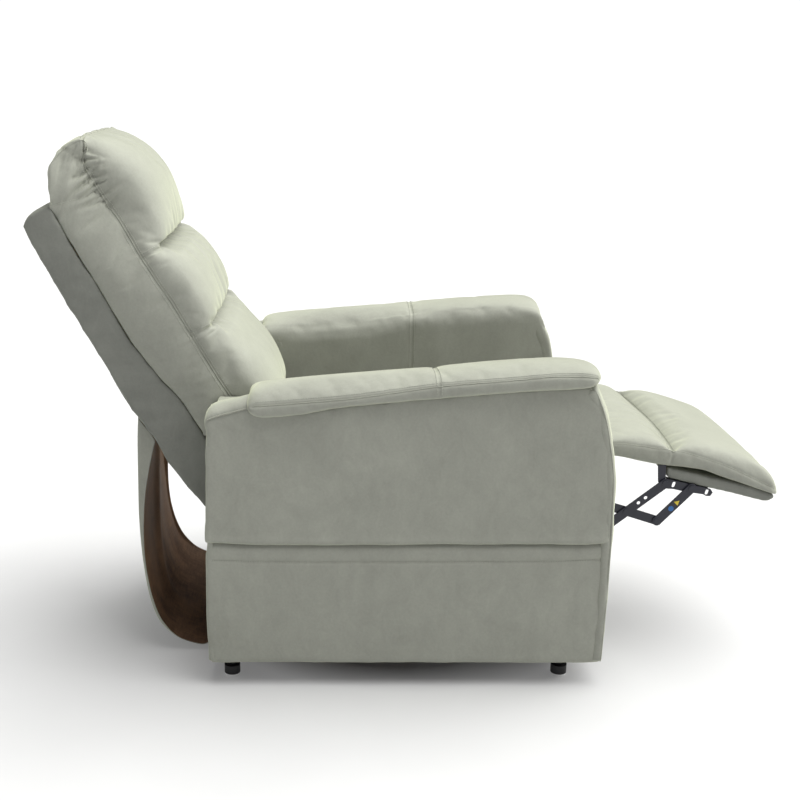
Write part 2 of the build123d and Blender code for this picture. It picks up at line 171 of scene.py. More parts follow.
def together(*bodies):
    """Several (points, faces) as one."""
    points, faces, start = [], [], 0
    for p, f in bodies:
        points.append(np.array(p, float))
        faces += [tuple(i + start for i in face) for face in f]
        start += len(p)
    return np.vstack(points), faces


def coords(obj):
    co = np.empty(len(obj.data.vertices) * 3)
    obj.data.vertices.foreach_get("co", co)
    return co.reshape(-1, 3)


def set_coords(obj, co):
    obj.data.vertices.foreach_set("co", np.ascontiguousarray(co, float).ravel())
    obj.data.update()


def normals(obj):
    out = np.empty(len(obj.data.vertices) * 3)
    obj.data.vertex_normals.foreach_get("vector", out)
    return out.reshape(-1, 3)


def edges_of(obj):
    e = np.empty(len(obj.data.edges) * 2, int)
    obj.data.edges.foreach_get("vertices", e)
    return e.reshape(-1, 2)


def relax(obj, times, factor=0.5):
    """Draws each vertex towards the middle of its neighbours."""
    co, (a, b) = coords(obj), edges_of(obj).T
    count = np.bincount(np.concatenate([a, b]), minlength=len(co)).astype(float)[:, None]
    for _ in range(times):
        total = np.zeros_like(co)
        for k in range(3):
            total[:, k] = np.bincount(a, co[b, k], len(co)) + np.bincount(b, co[a, k], len(co))
        co += (total / np.maximum(count, 1) - co) * factor
    set_coords(obj, co)


def bake(obj):
    """Applies the object's modifiers."""
    depsgraph = bpy.context.evaluated_depsgraph_get()
    depsgraph.update()
    mesh = bpy.data.meshes.new_from_object(obj.evaluated_get(depsgraph))
    materials = list(obj.data.materials)
    obj.modifiers.clear()
    obj.data = mesh
    if not len(mesh.materials):
        for m in materials:
            mesh.materials.append(m)
    mesh.shade_smooth()


def remesh(obj, voxel, smoothing=4):
    m = obj.modifiers.new("remesh", "REMESH")
    m.mode = "VOXEL"
    m.voxel_size = voxel * MM
    bake(obj)
    relax(obj, smoothing)


def subdivide(obj, levels=1):
    m = obj.modifiers.new("subdivision", "SUBSURF")
    m.levels = m.render_levels = levels
    bake(obj)


def near_path(co, path, reach):
    """A search tree of a path's points, and the vertices within reach of the box around it."""
    line = np.array(path) * TO_METRES
    found = KDTree(len(line))
    for i, p in enumerate(line):
        found.insert(p, i)
    found.balance()
    low, high = line.min(0) - reach * MM, line.max(0) + reach * MM
    return found, np.where(((co > low) & (co < high)).all(1))[0]


def nearness(obj, path, width):
    """How near each vertex is to a path of (x, forward, height): 1 on it, falling to 0."""
    co = coords(obj)
    found, near = near_path(co, path, 4 * width)
    out = np.zeros(len(co))
    for i in near:
        out[i] = math.exp(-((found.find(co[i])[2] / (width * MM)) ** 2))
    return out


def groove(obj, path, depth, width):
    """A soft channel along a path."""
    amount = nearness(obj, straight(path, 2.5), width)
    set_coords(obj, coords(obj) - normals(obj) * (amount * depth * MM)[:, None])


def fold(obj, path, depth, width, way, half):
    """A deep crease pushed in along one (forward, height) direction, gone within 20 mm of the half width."""
    co = coords(obj)
    share = np.clip((half - np.abs(co[:, 0]) / MM) / 20, 0, 1)
    share = share * share * (3 - 2 * share)
    amount = nearness(obj, straight(path, 2.5), width) * share * depth * MM
    set_coords(obj, co + amount[:, None] * np.array((0.0, -way[0], way[1])))


def ripple(obj, amount, size, seed, keep=None, stretch=(1, 1, 1)):
    """Slow uneven swells of cloth over a pad, from a sum of sine waves in fixed random directions."""
    waves, usual_total = 14, 2.6
    rng = np.random.default_rng(seed)
    co = coords(obj) / (size * MM) / np.array(stretch)
    total = np.zeros(len(co))
    for _ in range(waves):
        way = rng.normal(size=3)
        way /= np.linalg.norm(way)
        scale = rng.uniform(0.7, 2.4)
        total += np.sin(co @ way * 2 * math.pi * scale + rng.uniform(0, 6.28)) / scale
    total *= amount * MM / usual_total
    if keep is not None:
        total *= keep
    set_coords(obj, coords(obj) + normals(obj) * total[:, None])


def gathers(obj, path, spacing, depth, reach, seed, where=None):
    """Short creases across a seam, where the cloth is gathered into it."""
    step, narrowest, rim = 2.0, 3.2, 0.35
    rng = np.random.default_rng(seed)
    line = straight(path, step)
    total = len(line) * step
    places = np.cumsum(rng.uniform(0.6, 1.4, int(total / spacing) + 2) * spacing)
    lengths = rng.uniform(0.45, 1.25, len(places)) * reach
    widths = np.maximum(rng.uniform(0.16, 0.27, len(places)) * spacing, narrowest)
    slants = rng.uniform(-0.35, 0.35, len(places))
    depths = rng.uniform(0.5, 1.2, len(places)) * depth
    co = coords(obj)
    found, near = near_path(co, line, 2 * reach)
    move = np.zeros(len(co))
    for i in near:
        _, k, away = found.find(co[i])
        away /= MM
        if away > 2 * reach:
            continue
        side = 1 if abs(co[i][0]) > abs(line[k][0]) * MM else -1
        d = k * step - places + slants * away * side
        size = depths * np.exp(-((away / lengths) ** 2))
        move[i] = rim * (size * np.exp(-(((d - 2.2 * widths) / widths) ** 2))).sum()
        move[i] -= (size * np.exp(-((d / widths) ** 2))).sum()
    if where is not None:
        move *= where
    set_coords(obj, co + normals(obj) * move[:, None] * MM)


def puff(obj, pressure, cap, hold, slack, fallback):
    """Blows the piece up as cloth, with some vertices held, and limits how far each may move to cap.
    """
    frames, least_held = 20, 0.02
    start = coords(obj)
    if not SIMULATE:
        set_coords(obj, start + normals(obj) * ((1 - hold) * fallback * MM)[:, None])
        return
    m = obj.modifiers.new("cloth", "CLOTH")
    s = m.settings
    s.quality = 5
    s.mass = 0.3
    s.use_pressure = True
    s.uniform_pressure_force = pressure
    s.effector_weights.gravity = 0
    s.tension_stiffness = s.compression_stiffness = 15
    s.shear_stiffness = 5
    s.bending_stiffness = 0.5
    s.shrink_min = -slack
    group = obj.vertex_groups.new(name="held")
    for i in np.where(hold > least_held)[0]:
        group.add([int(i)], float(min(1.0, hold[i])), "REPLACE")
    s.vertex_group_mass = "held"
    m.point_cache.frame_start, m.point_cache.frame_end = 1, frames
    for f in range(1, frames + 1):
        scene.frame_set(f)
    move = coords(obj.evaluated_get(bpy.context.evaluated_depsgraph_get())) - start
    far = np.linalg.norm(move, axis=1)
    limit, tiny = cap * MM, 1e-9
    scale = np.where(far > tiny, limit * np.tanh(far / limit) / np.maximum(far, tiny), 1)
    obj.modifiers.clear()
    obj.vertex_groups.clear()
    set_coords(obj, start + move * scale[:, None])
    scene.frame_set(1)


def surface(obj):
    return BVHTree.FromPolygons([Vector(c) for c in coords(obj)], [tuple(p.vertices) for p in obj.data.polygons])


def onto(tree, path, lift=0.0):
    """The path moved on to a surface; returns points in mm and the surface's normals."""
    spots, ups = [], []
    for p in path:
        hit, normal, _, _ = tree.find_nearest(Vector(p * TO_METRES))
        q = hit + normal * lift * MM
        spots.append((q.x / MM, -q.y / MM, q.z / MM))
        ups.append((normal.x, -normal.y, normal.z))
    return np.array(spots), np.array(ups)


def piping(name, path, radius, material, sides=8):
    """A round welt along a path, narrower at its two ends."""
    path = np.array(path, float)
    way = np.gradient(path, axis=0)
    way /= np.linalg.norm(way, axis=1)[:, None]
    across = np.cross(way, (0.31, 0.17, 0.93))
    across /= np.linalg.norm(across, axis=1)[:, None]
    other = np.cross(way, across)
    rings = []
    for i in range(len(path)):
        r = radius * (0.35 if i in (0, len(path) - 1) else 1.0)
        turns = np.linspace(0, 2 * math.pi, sides, endpoint=False)
        rings.append([path[i] + (across[i] * math.cos(a) + other[i] * math.sin(a)) * r for a in turns])
    return make(name, *tube_of_rings(rings), material)


def stitches(name, lines, material, pitch=5.0, length=3.6, radius=0.55):
    """Rows of short threads. lines are (points, normals) already on the surface."""
    threads = []
    for path, ups in lines:
        path, ups = np.array(path), np.array(ups)
        steps = np.concatenate([[0], np.cumsum(np.linalg.norm(np.diff(path, axis=0), axis=1))])
        both = np.column_stack([path, ups])
        for at in np.arange(pitch, steps[-1] - pitch, pitch):
            a = np.array([np.interp(at - length / 2, steps, both[:, k]) for k in range(6)])
            b = np.array([np.interp(at + length / 2, steps, both[:, k]) for k in range(6)])
            way = b[:3] - a[:3]
            way /= max(np.linalg.norm(way), 1e-6)
            up = (a[3:] + b[3:]) / 2
            up -= way * up.dot(way)
            up /= max(np.linalg.norm(up), 1e-6)
            side = np.cross(way, up)
            rings = []
            for t, rise in ((0, -0.5), (0.25, 0.35), (0.75, 0.35), (1, -0.5)):
                middle = a[:3] * (1 - t) + b[:3] * t + up * rise * radius
                rings.append([middle + (side * u + up * v) * radius for u, v in ((0, 1), (1, 0), (0, -1), (-1, 0))])
            threads.append(tube_of_rings(rings))
    return make(name, *together(*threads), material)


def of_side(left, s):
    """The left piece itself, or for s < 0 a mirrored copy for the right side."""
    if s > 0:
        return left
    mesh = left.data.copy()
    twin = bpy.data.objects.new(left.name.replace("_left", "_right"), mesh)
    scene.collection.objects.link(twin)
    co = coords(twin)
    co[:, 0] *= -1
    set_coords(twin, co)
    mesh.flip_normals()
    return twin


def turned(row, s):
    """Points and normals of the left side, or for s < 0 those of the right."""
    return row if s > 0 else tuple(part * FLIP for part in row)


# ---------------- materials
class Nodes:
    """A material around one Principled shader, painted in the object's own coordinates."""

    def __init__(self, name, **shader):
        self.material = bpy.data.materials.new(name)
        self.material.use_nodes = True
        self.tree = self.material.node_tree
        self.tree.nodes.clear()
        self.shader = self.add("ShaderNodeBsdfPrincipled", **shader)
        self.link(self.shader.outputs["BSDF"], self.add("ShaderNodeOutputMaterial"), "Surface")
        self.where = self.add("ShaderNodeTexCoord").outputs["Object"]

    def add(self, kind, **values):
        """A node. Each value is one of its settings, or else the number in one of its inputs."""
        node = self.tree.nodes.new(kind)
        for key, value in values.items():
            if hasattr(node, key):
                setattr(node, key, value)
            else:
                node.inputs[key.replace("_", " ")].default_value = value
        return node

    def link(self, value, node, into):
        self.tree.links.new(value, node.inputs[into])

    def noise(self, scale, detail, roughness=0.55, distortion=0.0, stretch=None):
        node = self.add("ShaderNodeTexNoise", Scale=scale, Detail=detail, Roughness=roughness, Distortion=distortion)
        where = self.where
        if stretch:
            mapping = self.add("ShaderNodeMapping", Scale=stretch)
            self.link(where, mapping, "Vector")
            where = mapping.outputs["Vector"]
        self.link(where, node, "Vector")
        return node.outputs["Fac"]

    def mix(self, a, b, share):
        """a * (1 - share) + b * share"""
        node = self.add("ShaderNodeMix", data_type="FLOAT")
        node.inputs[0].default_value = share
        self.link(a, node, 2)
        self.link(b, node, 3)
        return node.outputs[0]

    def spread(self, value, from_min, from_max, to_min, to_max):
        node = self.add("ShaderNodeMapRange", From_Min=from_min, From_Max=from_max, To_Min=to_min, To_Max=to_max)
        self.link(value, node, "Value")
        return node.outputs["Result"]

    def ramp(self, value, *stops):
        """Colours, or greys given as one number, at places along a value."""
        node = self.add("ShaderNodeValToRGB")
        elements = node.color_ramp.elements
        while len(elements) < len(stops):
            elements.new(0.5)
        for e, (at, colour) in zip(elements, stops):
            e.position = at
            e.color = (*colour, 1.0) if isinstance(colour, tuple) else (colour, colour, colour, 1.0)
        self.link(value, node, "Fac")
        return node.outputs["Color"]

    def bump(self, value, strength, distance, after=None):
        node = self.add("ShaderNodeBump", Strength=strength, Distance=distance)
        self.link(value, node, "Height")
        if after is not None:
            self.link(after, node, "Normal")
        return node.outputs["Normal"]

    def finish(self, colour, roughness, bump=None):
        self.link(colour, self.shader, "Base Color")
        self.link(roughness, self.shader, "Roughness")
        if bump is not None:
            self.link(bump, self.shader, "Normal")
        return self.material


def suede(name, dark, light, sheen=0.6):
    n = Nodes(name, Specular_IOR_Level=0.25, Sheen_Weight=sheen, Sheen_Roughness=0.45,
              Sheen_Tint=(0.95, 1.0, 0.72, 1.0))
    blotch = n.noise(7.5, 6.0, 0.62, 0.9)
    strokes = n.noise(30.0, 5.0, 0.62, 1.4, (1.0, 1.0, 0.6))
    nap = n.noise(190.0, 3.0, 0.6)
    grain = n.noise(1500.0, 2.0, 0.5)
    mixed = n.mix(n.mix(blotch, strokes, 0.42), nap, 0.22)
    middle = tuple((a + b) / 2 for a, b in zip(dark, light))
    colour = n.ramp(n.mix(mixed, grain, 0.12), (0.34, dark), (0.5, middle), (0.66, light))
    rough = n.ramp(mixed, (0.35, 0.78), (0.65, 0.93))
    return n.finish(colour, rough, n.bump(grain, 0.35, 0.00025, n.bump(nap, 0.35, 0.0006)))


def plain_weave(name, dark, light):
    """A woven cloth, darker towards the floor and lighter higher up, as painted shade by height."""
    n = Nodes(name, Specular_IOR_Level=0.3)
    blotch = n.noise(14.0, 5.0, 0.6, 0.4)
    warp = n.noise(260.0, 2.0, 0.5, 0.0, (1.0, 0.12, 0.12))
    weft = n.noise(260.0, 2.0, 0.5, 0.0, (0.12, 1.0, 1.0))
    weave = n.mix(warp, weft, 0.5)
    tone = n.mix(blotch, weave, 0.4)
    place = n.add("ShaderNodeSeparateXYZ")
    n.link(n.where, place, "Vector")
    # Painted shade: the colour darkens lower down in the object's own coordinates.
    height = n.spread(place.outputs["Z"], 0.06, 0.36, 0.25, 0.85)
    colour = n.ramp(n.mix(tone, height, 0.5), (0.30, dark), (0.70, light))
    return n.finish(colour, n.ramp(tone, (0.3, 0.6), (0.7, 0.8)), n.bump(weave, 0.4, 0.0005))


def painted(name, dark, light, low=0.32, high=0.5, metallic=0.0, grain=900.0, depth=0.00012, stretch=None):
    n = Nodes(name, Metallic=metallic)
    slow = n.noise(22.0, 5.0, 0.6, 0.3)
    fine = n.noise(grain, 3.0, 0.55, 0.0, stretch)
    tone = n.mix(slow, fine, 0.4)
    colour = n.ramp(tone, (0.3, dark), (0.7, light))
    return n.finish(colour, n.ramp(tone, (0.3, low), (0.7, high)), n.bump(fine, 0.4, depth))


def wood(name):
    n = Nodes(name)
    wave = n.add("ShaderNodeTexWave", bands_direction="Z", Scale=18.0, Distortion=5.0, Detail=3.0)
    n.link(n.where, wave, "Vector")
    fibre = n.noise(120.0, 4.0, 0.6, 0.2, (1.0, 0.08, 1.0))
    tone = n.mix(wave.outputs["Fac"], fibre, 0.6)
    colour = n.ramp(tone, (0.25, (0.34, 0.21, 0.10)), (0.75, (0.56, 0.40, 0.23)))
    return n.finish(colour, n.ramp(tone, (0.3, 0.6), (0.7, 0.75)), n.bump(fibre, 0.3, 0.0003))


FABRIC = suede("grey_green_suede", (0.255, 0.260, 0.228), (0.335, 0.342, 0.300))
# A darker copy of the same suede. Its colour is painted shade, used on the back shell, its welts and the footrest
# board.
SHADED = suede("grey_green_suede_painted_shade", (0.165, 0.170, 0.153), (0.225, 0.231, 0.208), 0.25)
THREAD = suede("thread", (0.30, 0.305, 0.27), (0.40, 0.405, 0.36), 0.2)
# The lining's darkest colour is painted shade near the floor.
LINING = plain_weave("brown_lining", (0.036, 0.015, 0.007), (0.46, 0.27, 0.155))
NAVY = painted("navy_powder_coat", (0.007, 0.008, 0.015), (0.019, 0.020, 0.033))
ZINC = painted("zinc_plate", (0.42, 0.42, 0.41), (0.62, 0.62, 0.60), 0.25, 0.42, 1.0, 300.0, 0.00006, (1, 1, 8))
# The glide discs are steel, but coloured near white and not metallic: a painted reflection of their bright
# surroundings.
DISC = painted("glide_disc_white_painted_reflection", (0.80, 0.80, 0.80), (0.92, 0.92, 0.91), 0.3, 0.45, 0.0, 300.0, 0.00006)
TIMBER = wood("bare_timber")
STRAP = plain_weave("webbing_weave", (0.17, 0.14, 0.10), (0.36, 0.32, 0.25))
BLACK = painted("black_plastic", (0.006, 0.006, 0.007), (0.014, 0.014, 0.015), 0.5, 0.65, 0.0, 1600.0, 0.00015)
GREY = painted("grey_button_plastic", (0.36, 0.37, 0.38), (0.46, 0.47, 0.48), 0.4, 0.5, 0.0, 1600.0, 0.0001)
BLUE = painted("blue_mark", (0.015, 0.10, 0.30), (0.03, 0.15, 0.42), 0.4, 0.5)
YELLOW = painted("yellow_mark", (0.55, 0.42, 0.02), (0.70, 0.55, 0.04), 0.4, 0.5)

HARD = {"dark_steel": NAVY, "zinc_steel": ZINC, "timber": TIMBER, "black_plastic": BLACK, "button_plastic": GREY}
FINISHES = {"upholstery": FABRIC, "lining": LINING, "webbing": STRAP, **HARD}
for row in frame["record"]["subparts"]:
    node, slot = frame["nodes"][row["node"]], row["material_slot"]
    node.data.materials.clear()
    node.data.materials.append(FINISHES[slot])
    if slot in HARD:
        edge = node.modifiers.new("edge", "BEVEL")
        edge.width = 0.6 * MM
        edge.segments = 2
        edge.limit_method = "ANGLE"
        edge.angle_limit = math.radians(40)
for name in ("seat_rivets", "footrest_rivets"):
    frame["nodes"][name].data.materials[0] = NAVY
frame["nodes"]["glide_discs"].data.materials[0] = DISC


def upholstered(obj, body, nodes):
    """A padded piece that stands for CAD nodes."""
    if nodes:
        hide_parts(*nodes)
    if body:
        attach(obj, body)


def trim(obj, body):
    """A welt, a row of stitches or a covered board."""
    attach(obj, body)


# ---------------- back cushion
# Each row is a slice: (forward, height) of the side seam, of the middle of the front and of the deck behind it, and
# the half width at the seam.
SLICES = [
    ((-733, 998), (-733, 998), (-737, 996), 246),
    ((-739, 1042), (-738, 1047), (-734, 990), 242),
    ((-736, 1078), (-730, 1092), (-731, 985), 228),
    ((-713, 1103), (-707, 1114), (-728, 978), 206),
    ((-670, 1121), (-678, 1133), (-724, 970), 197),
    ((-674, 1078), (-648, 1126), (-719, 958), 199),
    ((-658, 1048), (-608, 1110), (-712, 945), 203),
    ((-643, 1019), (-570, 1082), (-704, 930), 203),
    ((-624, 990), (-538, 1039), (-694, 913), 204),
    ((-602, 959), (-517, 980), (-683, 892), 210),
    ((-580, 923), (-503, 936), (-668, 866), 219),
    ((-558, 888), (-503, 913), (-653, 840), 232),
    ((-543, 868), (-488, 898), (-640, 817), 242),
    ((-522, 836), (-453, 864), (-622, 783), 247),
    ((-500, 803), (-425, 821), (-602, 747), 247),
    ((-478, 765), (-405, 778), (-583, 713), 247),
    ((-456, 727), (-399, 750), (-565, 688), 247),
    ((-445, 708), (-390, 731), (-550, 667), 247),
    ((-425, 672), (-358, 690), (-527, 637), 247),
    ((-405, 637), (-316, 647), (-503, 611), 247),
    ((-385, 605), (-290, 600), (-480, 583), 247),
    ((-362, 570), (-275, 550), (-465, 558), 247),
    ((-350, 535), (-278, 519), (-450, 535), 247),
    ((-352, 512), (-310, 507), (-440, 520), 247),
    ((-400, 508), (-400, 508), (-437, 514), 247),
    ((-434, 511), (-434, 511), (-435, 511), 247),
]
HEAD_SEAM, SHOULDER, UPPER_CREASE, LOWER_CREASE, LOW_EDGE = 4, 8, 11, 16, 23
# How far the front stands out, by distance from the middle, both as shares.
CROWN = [(0, 1), (0.3, 0.985), (0.55, 0.94), (0.75, 0.85), (0.88, 0.72), (0.96, 0.55), (1.003, 0.32), (1.0, 0)]


def back_cushion():
    """The boxed cushion of three lobes, with denser rows at the head and at the two creases."""
    rows, gusset, behind = 200, 10, 22
    keys = np.array([(*e, *m, *r, w) for e, m, r, w in SLICES], float)
    line = curve(keys, 1500)
    along = np.concatenate([[0.0], np.cumsum(np.linalg.norm(np.diff(line, axis=0), axis=1))])
    spots = [along[np.argmin(np.linalg.norm(line - k, axis=1))] for k in keys]
    density = 1 + 0.9 * np.clip((spots[SHOULDER] - along) / 30, 0, 1)
    for key in (UPPER_CREASE, LOWER_CREASE):
        density += 2.5 * np.exp(-(((along - spots[key]) / 55) ** 2))
    share = np.cumsum(density)
    pick = np.interp(np.linspace(share[0], share[-1], rows), share, np.arange(len(line)))
    line = np.column_stack([np.interp(pick, np.arange(len(line)), line[:, k]) for k in range(7)])
    at = [int(np.argmin(np.linalg.norm(line - k, axis=1))) for k in keys]
    section = curve([(a * BACK_HALF, d * 100) for a, d in CROWN], 32)
    half = [(x / BACK_HALF, d / 100) for x, d in section]
    across = [(-x, d) for x, d in half[::-1]] + half[1:]
    front = len(across)
    rings = []
    for e_f, e_z, m_f, m_z, r_f, r_z, wide in line:
        r_f, r_z = r_f - 3.0, r_z - 2.0
        ring = [(x * wide, e_f + (m_f - e_f) * d, e_z + (m_z - e_z) * d) for x, d in across]
        side = []
        for k in range(1, gusset):
            t = k / gusset
            out = 3.0 * math.sin(math.pi * t)
            side.append((wide + (BACK_HALF - 1 - wide) * t + out, e_f + (r_f - e_f) * t, e_z + (r_z - e_z) * t))
        deck = [(x, r_f, r_z) for x in np.linspace(BACK_HALF - 1, -BACK_HALF + 1, behind)]
        rings.append(ring + side + deck + [(-x, f, z) for x, f, z in side[::-1]])
    obj = make("back_cushion_cover", *tube_of_rings(rings), FABRIC)
    columns = len(rings[0])
    hold = np.zeros((rows, columns))
    hold[:, front + gusset - 1:front + gusset - 1 + behind] = 1
    hold[:, (0, front - 1)] = 1
    hold[:4] = hold[-3:] = 1
    for row, strength in ((UPPER_CREASE, 1.0), (LOWER_CREASE, 1.0), (HEAD_SEAM, 0.55), (LOW_EDGE, 0.8)):
        hold[at[row], :front] = np.maximum(hold[at[row], :front], strength)
    puff(obj, 4.0, 14.0, hold.ravel(), slack=0.035, fallback=3.0)
    relax(obj, 1, 0.4)
    grid = coords(obj).reshape(rows, columns, 3) / TO_METRES
    seams = {"right": grid[at[HEAD_SEAM]:at[LOW_EDGE], 0], "left": grid[at[HEAD_SEAM]:at[LOW_EDGE], front - 1],
             "head": grid[at[HEAD_SEAM], :front], "upper": grid[at[UPPER_CREASE], :front],
             "lower": grid[at[LOWER_CREASE], :front]}
    subdivide(obj)
    for key, depth, width in (("right", 2.0, 3.5), ("left", 2.0, 3.5), ("head", 3.0, 4.0), ("upper", 2.5, 4.5),
                              ("lower", 2.5, 4.5)):
        groove(obj, seams[key], depth, width)
    for key, half in (("upper", 205), ("lower", 212)):
        fold(obj, seams[key] + (0, 4, -13), 26.0, 16.0, (-0.93, -0.37), half - 8)
        fold(obj, seams[key] + (0, -6, -3), 46.0, 9.0, (-0.93, 0.2), half)
    gathered = at[SHOULDER] - at[HEAD_SEAM]
    for s, key in SIDES[::-1]:
        seams["cross_" + key] = straight([(s * 203, -643, 1019), (s * 232, -688, 1012), (s * 246, -735, 1000)])
        groove(obj, seams["cross_" + key], 1.8, 3.5)
        gathers(obj, seams[key][:gathered], 17.0, 4.5, 42.0, 61)
        side = (coords(obj)[:, 0] * s > 204 * MM) * 1.0
        gathers(obj, seams[key][:gathered] + (s * 6, -14, -8), 24.0, 5.5, 38.0, 66, side)
        gathers(obj, seams[key][gathered:], 70.0, 1.3, 36.0, 62)
    gathers(obj, seams["upper"], 48.0, 2.0, 20.0, 63)
    gathers(obj, seams["lower"], 48.0, 2.0, 20.0, 64)
    gathers(obj, seams["head"], 36.0, 1.2, 26.0, 65)
    return obj, seams


cushion, cushion_seams = back_cushion()
upholstered(cushion, "back", ["back_cushion"])
tree = surface(cushion)
for key in ("right", "left"):
    path, _ = onto(tree, cushion_seams[key], 0.4)
    trim(piping(f"back_cushion_welt_{key}", resample(path, 150), 1.2, FABRIC), "back")
lines = [onto(tree, cushion_seams[key] + shift, 0.3) for key, shift in (
    ("head", (0, 6, 6)), ("head", (0, -6, -6)), ("upper", (0, -7, 7)), ("lower", (0, -7, 7)),
    ("right", (0, -6, -4)), ("right", (0, 5, 4)), ("cross_right", (0, 0, -4)),
    ("left", (0, -6, -4)), ("left", (0, 5, 4)), ("cross_left", (0, 0, -4)))]
trim(stitches("back_cushion_stitching", lines, THREAD), "back")


# ---------------- upholstered back shell
REAR_LINE = [(-797, 952), (-727, 814), (-651, 676), (-598, 589), (-579, 547)]
BACK_SIDE = [(-799, 955), (-786, 976), (-758, 990), (-737, 997), (-723, 964), (-682, 890), (-644, 824),
             (-587, 719), (-547, 663), (-484, 589), (-435, 511), (-400, 440), (-398, 372), (-437, 336),
             (-479, 396), (-520, 453), (-545, 505), (-579, 547), (-651, 676), (-727, 814)]


OUTSIDE_BACK = [(-799, 955), (-727, 814), (-651, 676), (-579, 547), (-566, 554), (-638, 683), (-714, 821), (-784, 955)]
TOP_RAIL = [(-799, 955), (-786, 976), (-758, 990), (-737, 997), (-728, 976), (-776, 956)]
LOW_PANEL = [(-579, 547), (-545, 505), (-520, 453), (-479, 396), (-437, 336), (-426, 343), (-468, 404), (-509, 460),
             (-534, 512), (-566, 554)]


def rear_line(s, inset, shift_f=0, shift_z=0):
    """A line down the outside back, inset from its side."""
    return curve([(s * (BACK_HALF - inset), f + shift_f, z + shift_z) for f, z in REAR_LINE])


def back_shell():
    inside = BACK_HALF - 18
    bodies = [slab(BACK_SIDE, -BACK_HALF, -inside), slab(BACK_SIDE, inside, BACK_HALF)]
    bodies += [slab(outline, -inside - 4, inside + 4) for outline in (OUTSIDE_BACK, TOP_RAIL, LOW_PANEL)]
    # The shell is covered in the darker suede, whose colour is painted shade.
    obj = make("back_shell_cover", *together(*bodies), SHADED)
    remesh(obj, 6.0, 5)
    co = coords(obj)
    ripple(obj, 1.5, 170, 3)
    side = (np.abs(co[:, 0]) > (BACK_HALF - 8) * MM).astype(float)
    ripple(obj, 1.2, 70, 5, side, (1, 2.2, 0.6))
    subdivide(obj)
    for s in (-1, 1):
        groove(obj, rear_line(s, 14), 1.8, 4)
    return obj


shell = back_shell()
upholstered(shell, "back", ["back_sides", "outside_back", "back_top_rail", "back_low_panel"])
shell_tree = surface(shell)
lines = []
for s, name in SIDES[::-1]:
    path, _ = onto(shell_tree, rear_line(s, 14, -4, -2), 0.6)
    # The welts take the same painted-shade suede.
    trim(piping(f"back_shell_welt_{name}", path, 1.8, SHADED), "back")
    lines.append(onto(shell_tree, rear_line(s, 24, -4, -2), 0.3))
trim(stitches("back_shell_stitching", lines, THREAD), "back")


# ---------------- arms
PAD_BOTTOM = [(-336, 604), (-306, 597), (-231, 603), (-152, 617), (-34, 629), (45, 636), (202, 649), (327, 656),
              (372, 664)]
PAD_SEAM = [(-336, 620), (-326, 623), (-231, 630), (-113, 641), (44, 664), (200, 678), (278, 685), (372, 681)]
PAD_INNER = [(-336, 624), (-312, 632), (-232, 632), (-170, 636), (-107, 641), (-30, 649), (62, 663), (130, 669),
             (185, 674), (310, 681), (372, 676)]
PAD_CROWN = [(-336, 636), (-318, 645), (-239, 655), (-109, 666), (54, 679), (201, 690), (331, 696), (372, 690)]
ARM_SEAM = 44.0  # forward position of the seam across the arm
pad_bottom, pad_seam = height_of(PAD_BOTTOM), height_of(PAD_SEAM)
pad_inner, pad_crown = height_of(PAD_INNER), height_of(PAD_CROWN)
FRONT_EDGE = [(350, 657), (363, 632), (378, 591), (392, 528), (401, 470), (403, 422), (405, 357), (405, 324),
              (404, 201), (401, 56)]
PANEL_TOP = [(-418, 590), (-390, 599), (-360, 607), (-326, 616), (-300, 612), (-231, 606), (-152, 619), (-34, 632),
             (45, 639), (202, 652), (327, 659)]


def pad_section(f, grow):
    """Outline of the pad at one place, drawn in towards its middle by grow < 1."""
    low, seam, inner, crown = (float(h(f)) for h in (pad_bottom, pad_seam, pad_inner, pad_crown))
    outline = [
        (ARM_IN + 1, inner - 34), (ARM_IN - 1, inner - 16), (ARM_IN + 5, inner - 3), (ARM_IN + 26, inner + 5),
        (ARM_IN + 70, crown - 3), (ARM_IN + 108, crown), (ARM_IN + 140, crown - 3),
        (ARM_IN + 160, (crown + 2 * seam) / 3), (PAD_OUT - 4, seam), (PAD_OUT, (seam * 2 + low) / 3),
        (PAD_OUT - 1, (seam + 2 * low) / 3), (PAD_OUT - 5, low + 2),
        (ARM_OUT - 2, low - 1), (ARM_OUT - 50, low - 2), (ARM_IN + 40, low - 6), (ARM_IN + 8, low - 10)]
    if grow < 1:
        nose = f > 0
        mid_x, mid_z = ARM_IN + (70 if nose else 84), (low + crown) / 2
        wide = 0.5 + 0.5 * grow if nose else 0.93 + 0.07 * grow
        outline = [(mid_x + (x - mid_x) * wide, mid_z + (z - mid_z) * grow) for x, z in outline]
    loop = curve(outline + [outline[0]], 73)[:-1]
    return [(x, f, z) for x, z in loop]


